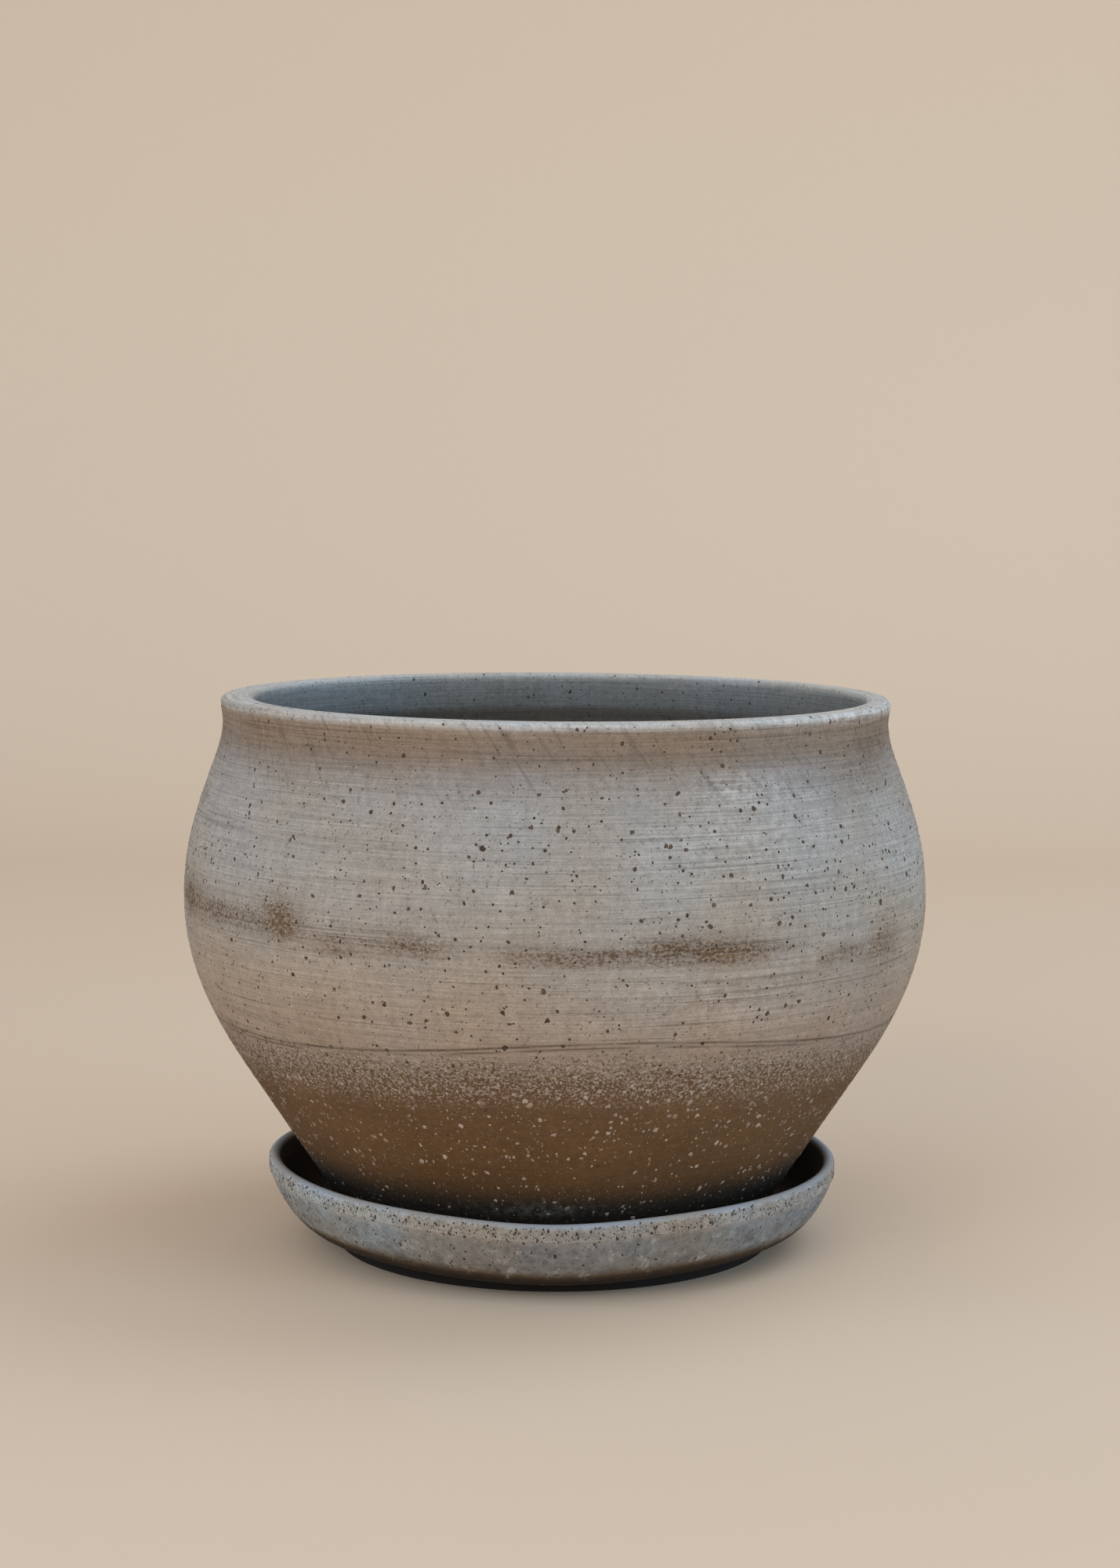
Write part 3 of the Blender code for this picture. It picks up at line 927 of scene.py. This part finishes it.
def pot_slip(make, outline, along):
    """The slip's colour along the outline."""
    length = outline.along[-1]
    at = outline.share
    stops = [
        (0.0, (0.54, 0.54, 0.54)),
        (1.7 * MM / length, (0.50, 0.49, 0.48)),
        (2.7 * MM / length, (0.28, 0.218, 0.17)),
        (at("upper_wall", 169.5), (0.24, 0.180, 0.136)),
        (at("upper_wall", 163), (0.22, 0.172, 0.138)),
        (at("upper_wall", 158), (0.27, 0.240, 0.222)),
        (at("upper_wall", 151), (0.32, 0.300, 0.285)),
        (at("upper_wall", 133), (0.335, 0.315, 0.295)),
        (at("upper_wall", 118), (0.34, 0.305, 0.27)),
        (at("upper_wall", 101), (0.34, 0.285, 0.235)),
        (at("upper_wall", 89), (0.345, 0.275, 0.22)),
        (at("line_zone", 76), (0.33, 0.255, 0.20)),
        (at("lower_wall", 53), (0.33, 0.255, 0.20)),
        (at("inside", 63), (0.10, 0.084, 0.073)),
        (at("inside", 150), (0.135, 0.120, 0.110)),
        (at("inside", 161), (0.132, 0.120, 0.110)),
        (at("throat", 163), (0.14, 0.150, 0.155)),
        (at("throat", 171), (0.20, 0.218, 0.225)),
        (outline.spans["lip"][0][0] / length, (0.52, 0.52, 0.51)),
        (1.0, (0.54, 0.54, 0.54)),
    ]
    return make.ramp(make.maths("DIVIDE", along, length), stops)


def pot_clay_and_shade(make, outline, along):
    """The bare brown clay's colour down the lower wall, darker towards the foot as painted shade: a little
    where the wall faces down, and near black low down in the saucer's shade.
    """
    length = outline.along[-1]

    def at(height):
        return outline.share("lower_wall", height)

    stops = [
        (at(66), (0.132, 0.074, 0.036)),
        (at(48), (0.123, 0.065, 0.026)),
        (at(37), (0.104, 0.053, 0.0205)),
        # Painted shade from here down, near black in the saucer
        (at(32), (0.072, 0.039, 0.018)),
        (at(29), (0.036, 0.022, 0.012)),
        (at(26), (0.018, 0.014, 0.011)),
    ]
    return make.ramp(make.maths("DIVIDE", along, length), stops)


def pot_stoneware(outline):
    """Grey slip over brown clay, with turning lines, drag marks, smudges and a sprayed edge."""
    make = Recipe("pot_stoneware", 0.85, 0.25)
    place = make.place()
    wheel = make.vector("wheel")
    along = make.value("along")
    below = make.value("below")
    lines, threads = turning_lines(make, wheel)
    cloud = make.noise(place, 28, 3.0)
    mottle = make.noise(place, 420, 3.0, 0.6)
    grain = make.noise(place, 1900, 2.0, 0.6)
    drips = make.noise(make.stretched(wheel, 330, 45), 1.0, 2.0)
    drag = make.noise(make.stretched(make.vector("drag"), 480, 60), 1.0, 2.0)
    dragged = make.times(make.between(drag, 0.54, 0.72), make.between(along, 34 * MM, 12 * MM))

    tint = make.mix(make.between(cloud, 0.35, 0.65), (1.03, 1.0, 0.96, 1.0), (0.97, 1.0, 1.04, 1.0))
    slip = make.tinted(pot_slip(make, outline, along), tint)
    # Pale slip, with painted window light on the right of the belly and a lighter lip at the right, from the
    # pale patches
    pale = make.times(make.value("pale"), make.between(make.maths("ADD", mottle, lines), 0.75, 1.2))
    slip = make.mix(pale, slip, (0.66, 0.67, 0.69, 1.0))
    shade = make.times(
        make.swing(lines, 1.1),
        make.swing(cloud, 0.28),
        make.swing(mottle, 0.48),
        make.swing(grain, 0.70),
        make.swing(drips, 0.25),
        make.less(threads, 0.27),
        make.less(dragged, 0.24),
        make.less(make.between(below, -14 * MM, 0.0), 0.32),
    )
    colour = make.scaled(slip, shade)
    dashes = make.noise(make.stretched(wheel, 150, 750), 1.0, 3.0, 0.6)
    hatch = make.noise(make.stretched(wheel, 700, 140), 1.0, 3.0, 0.6)
    stipple = make.between(make.noise(make.stretched(wheel, 900, 1300), 1.0, 3.0, 0.65), 0.38, 0.66)
    smudge = make.times(make.value("smudge"), make.swing(dashes, 1.2), make.swing(hatch, 0.9))
    smudge = make.times(smudge, make.swing(stipple, 1.1))
    colour = make.mix(smudge, colour, make.tinted(colour, (0.36, 0.25, 0.16)))

    # The clay's colour holds painted shade, near black low down in the saucer
    clay = pot_clay_and_shade(make, outline, along)
    rough = make.times(make.swing(cloud, 0.6), make.swing(mottle, 0.6), make.swing(grain, 0.6))
    clay = make.scaled(clay, make.times(rough, make.swing(lines, 0.5)))
    grey_patch = make.times(make.value("grey_patch"), make.between(mottle, 0.40, 0.60))
    clay = make.mix(grey_patch, clay, (0.075, 0.078, 0.07, 1.0))
    cover = make.between(below, 9 * MM, -11 * MM)
    spray = make.noise(place, 900, 3.0, 0.65)
    bare = make.between(make.maths("SUBTRACT", make.between(spray, 0.32, 0.68), cover), -0.12, 0.12)
    colour = make.mix(bare, colour, clay)
    edge = make.times(make.between(below, -13 * MM, -4 * MM), make.between(below, 11 * MM, 3 * MM))
    granules = make.times(make.between(make.noise(place, 1250, 3.0, 0.6), 0.53, 0.60), edge)
    colour = make.mix(make.times(granules, 0.75), colour, (0.44, 0.365, 0.305, 1.0))

    groove_wear_and_ridge_highlight = make.times(make.value("groove"), make.between(make.maths("ADD", mottle, grain), 0.55, 1.05))
    colour = make.mix(groove_wear_and_ridge_highlight, colour, (0.082, 0.055, 0.036, 1.0))
    dust = make.specks(make.wobbled(place, 2200, 0.0008), 850, 0.22, 0.24)
    dust = make.times(dust, make.between(below, 2 * MM, -4 * MM))
    colour = make.mix(make.times(dust, 0.75), colour, (0.05, 0.036, 0.028, 1.0))

    make.painted(colour)
    height = make.maths("ADD", make.times(lines, 0.6), make.times(grain, 0.4))
    height = make.maths("ADD", height, make.times(mottle, 0.4))
    height = make.maths("SUBTRACT", height, make.times(threads, 0.4))
    height = make.maths("SUBTRACT", height, make.times(bare, 0.5))
    make.bumped(height, 0.10 * MM)
    return make.material


def grog_material():
    """Dark iron-brown grains, some reddish, with a paler middle."""
    make = Recipe("dark_grog", 0.75, 0.25)
    tone = make.value("tone")
    rim = make.mix(make.between(tone, 0.90, 0.94), (0.038, 0.021, 0.012, 1.0), (0.09, 0.036, 0.022, 1.0))
    middle = make.mix(tone, (0.060, 0.038, 0.025, 1.0), (0.16, 0.110, 0.078, 1.0))
    colour = make.mix(make.value("core"), rim, middle)
    colour = make.scaled(colour, make.swing(make.noise(make.place(), 2500), 0.6))
    make.painted(colour)
    return make.material


def fleck_material():
    """Pale drops of slip that dried on the clay."""
    make = Recipe("pale_flecks", 0.85, 0.25)
    colour = make.mix(make.value("tone"), (0.22, 0.165, 0.125, 1.0), (0.43, 0.35, 0.285, 1.0))
    colour = make.scaled(colour, make.swing(make.noise(make.place(), 1800), 0.7))
    make.painted(colour)
    return make.material


def saucer_slip_and_shade(make, outline, along):
    """The slip's colour along the saucer's outline, with painted shade: near black in the bowl under the pot,
    and brown clay low on the wall that darkens to near black under the wall and on the foot.
    """
    length = outline.along[-1]
    at = outline.share
    lip_start, lip_end = outline.spans["lip"][0][[0, -1]]
    lip_top = (lip_start + lip_end) / 2
    stops = [
        # Painted shade: the floor and bowl under the pot are near black
        (0.0, (0.035, 0.026, 0.020)),
        (at("bowl", 21), (0.035, 0.027, 0.022)),
        (lip_start / length, (0.06, 0.055, 0.055)),
        ((lip_top - 1.3 * MM) / length, (0.31, 0.35, 0.405)),
        ((lip_top + 1.5 * MM) / length, (0.31, 0.35, 0.405)),
        ((lip_top + 2.2 * MM) / length, (0.25, 0.232, 0.215)),
        (at("band", 20.9), (0.25, 0.225, 0.205)),
        (at("wall", 20), (0.19, 0.183, 0.177)),
        (at("wall", 12.4), (0.19, 0.176, 0.164)),
        # Brown clay low on the wall, darkened further as painted shade
        (at("wall", 11), (0.13, 0.096, 0.066)),
        (at("wall", 9.8), (0.048, 0.028, 0.014)),
        (at("wall", 8), (0.018, 0.009, 0.004)),
        # Painted shadow: near black under the wall and down the foot's side
        (outline.spans["under"][0][0] / length, (0.006, 0.004, 0.003)),
        (outline.spans["foot"][0][0] / length, (0.006, 0.004, 0.003)),
        (1.0, (0.10, 0.07, 0.045)),
    ]
    return make.ramp(make.maths("DIVIDE", along, length), stops)


def saucer_stoneware(outline):
    """Blue-grey slip with a smooth lip, a speckled band, a painted highlight along the ridge and a mottled
    wall; painted warm and cool light tint it, and painted shade darkens the bowl, the wall's foot and the
    foot.
    """
    make = Recipe("saucer_stoneware", 0.80, 0.3)
    place = make.place()
    along = make.value("along")
    wheel = make.vector("wheel")
    cloud = make.noise(place, 40, 3.0)
    mottle = make.noise(place, 330, 4.0, 0.75)
    grain = make.noise(place, 1700, 2.0, 0.6)
    lip_top = outline.spans["lip"][0].mean()
    wall_top, wall_foot = outline.spans["wall"][0][[0, -1]]
    outside = make.between(along, lip_top + 1.3 * MM, lip_top + 2.2 * MM)
    on_band = make.times(outside, make.between(along, wall_top + 0.6 * MM, wall_top - 0.4 * MM))
    upper = make.between(along, wall_foot - 8 * MM, wall_foot - 13 * MM)
    on_wall = make.times(make.between(along, wall_top, wall_top + 2 * MM), upper)

    tint = make.mix(make.between(cloud, 0.35, 0.65), (1.08, 1.0, 0.91, 1.0), (0.94, 1.0, 1.08, 1.0))
    slip = make.tinted(saucer_slip_and_shade(make, outline, along), tint)
    # Painted cool light: tints the band and the upper wall blue towards the sides
    painted_cool_light = make.times(make.value("painted_cool_light"), outside, upper)
    slip = make.tinted(slip, make.mix(painted_cool_light, (1.06, 1.0, 0.93, 1.0), (1.26, 1.46, 1.62, 1.0)))
    shade = make.times(
        make.swing(cloud, 0.5),
        make.swing(make.mix_value(outside, 0.5, mottle), 1.5),
        make.swing(grain, 0.6),
    )
    colour = make.scaled(slip, shade)
    blotches = make.times(make.between(make.noise(place, 110, 5.0, 0.7), 0.50, 0.66), on_wall)
    colour = make.mix(make.times(blotches, 0.55), colour, (0.085, 0.082, 0.085, 1.0))
    pale = make.times(make.between(make.noise(place, 170, 4.0, 0.7), 0.55, 0.70), on_wall)
    colour = make.mix(make.times(pale, 0.7), colour, (0.42, 0.41, 0.39, 1.0))
    crowd = make.specks(make.wobbled(make.stretched(wheel, 0.7, 1.0), 2600, 0.0006), 1500, 0.62, 0.42)
    colour = make.mix(make.times(crowd, on_band, 0.9), colour, (0.035, 0.027, 0.022, 1.0))
    # Painted highlight: a pale line along the ridge's edge, where light catches the step
    ridge = outline.spans["ridge"][0].mean()
    groove_wear_and_ridge_highlight = make.times(
        make.between(along, ridge - 0.7 * MM, ridge - 0.2 * MM),
        make.between(along, ridge + 0.6 * MM, ridge + 0.1 * MM),
    )
    colour = make.mix(make.times(groove_wear_and_ridge_highlight, 0.5), colour, (0.36, 0.335, 0.31, 1.0))

    make.painted(colour)
    height = make.maths("ADD", make.times(grain, 0.5), make.times(mottle, outside))
    make.bumped(height, 0.12 * MM)
    return make.material


# Stage

def plain_material(name, colour):
    material = bpy.data.materials.new(name)
    material.use_nodes = True
    shader = material.node_tree.nodes["Principled BSDF"]
    shader.inputs["Base Color"].default_value = colour
    shader.inputs["Roughness"].default_value = 0.9
    shader.inputs["Specular IOR Level"].default_value = 0.1
    return material


def backdrop():
    """A pale floor that sweeps up far behind."""
    bend_start = BACKDROP_DEPTH - BACKDROP_BEND
    side = [(BACKDROP_FRONT, 0.0), (bend_start, 0.0)]
    for step in range(1, BACKDROP_STEPS + 1):
        angle = math.pi / 2 * step / BACKDROP_STEPS
        rise = BACKDROP_BEND * (1 - math.cos(angle))
        side.append((bend_start + BACKDROP_BEND * math.sin(angle), rise))
    side.append((BACKDROP_DEPTH, BACKDROP_HEIGHT))
    edges = (-BACKDROP_HALF_WIDTH, BACKDROP_HALF_WIDTH)
    corners = [(x, y, z - BACKDROP_DROP) for y, z in side for x in edges]
    faces = [(2 * i, 2 * i + 1, 2 * i + 3, 2 * i + 2) for i in range(len(side) - 1)]
    mesh = bpy.data.meshes.new("backdrop")
    mesh.from_pydata(corners, [], faces)
    piece = as_piece(mesh, plain_material("backdrop", BACKDROP_COLOUR))


def area_light(name, place, size, power, colour):
    lamp = bpy.data.lights.new(name, "AREA")
    lamp.shape = "DISK"
    lamp.size = size
    lamp.energy = power
    lamp.color = colour
    piece = bpy.data.objects.new(name, lamp)
    piece.location = place
    piece.rotation_euler = (LAMP_TARGET - Vector(place)).to_track_quat("-Z", "Y").to_euler()
    bpy.context.scene.collection.objects.link(piece)


def light():
    world = bpy.data.worlds.new("studio")
    world.use_nodes = True
    background = world.node_tree.nodes["Background"]
    background.inputs["Color"].default_value = (1.0, 1.0, 1.0, 1.0)
    background.inputs["Strength"].default_value = WORLD_STRENGTH
    bpy.context.scene.world = world
    for lamp in LAMPS:
        area_light(*lamp)


def camera():
    lens = bpy.data.cameras.new("camera")
    lens.lens = CAMERA_LENS
    lens.sensor_width = 36.0
    piece = bpy.data.objects.new("camera", lens)
    turn = Matrix.Rotation(CAMERA_YAW, 4, "Z")
    tilt = Matrix.Rotation(math.pi / 2 - CAMERA_PITCH, 4, "X")
    roll = Matrix.Rotation(CAMERA_ROLL, 4, "Z")
    piece.matrix_world = Matrix.Translation(CAMERA_PLACE) @ turn @ tilt @ roll
    bpy.context.scene.collection.objects.link(piece)
    bpy.context.scene.camera = piece


bpy.context.scene.view_settings.view_transform = "Standard"
pot_shape = pot_outline()
saucer_shape = saucer_outline()
dark_grog = grog_material()
saucer(saucer_stoneware(saucer_shape), saucer_shape)
saucer_grog(saucer_shape, dark_grog)
pot(pot_stoneware(pot_shape), pot_shape)
pot_grog(pot_shape, dark_grog)
pot_flecks(pot_shape, fleck_material())
backdrop()
light()
camera()
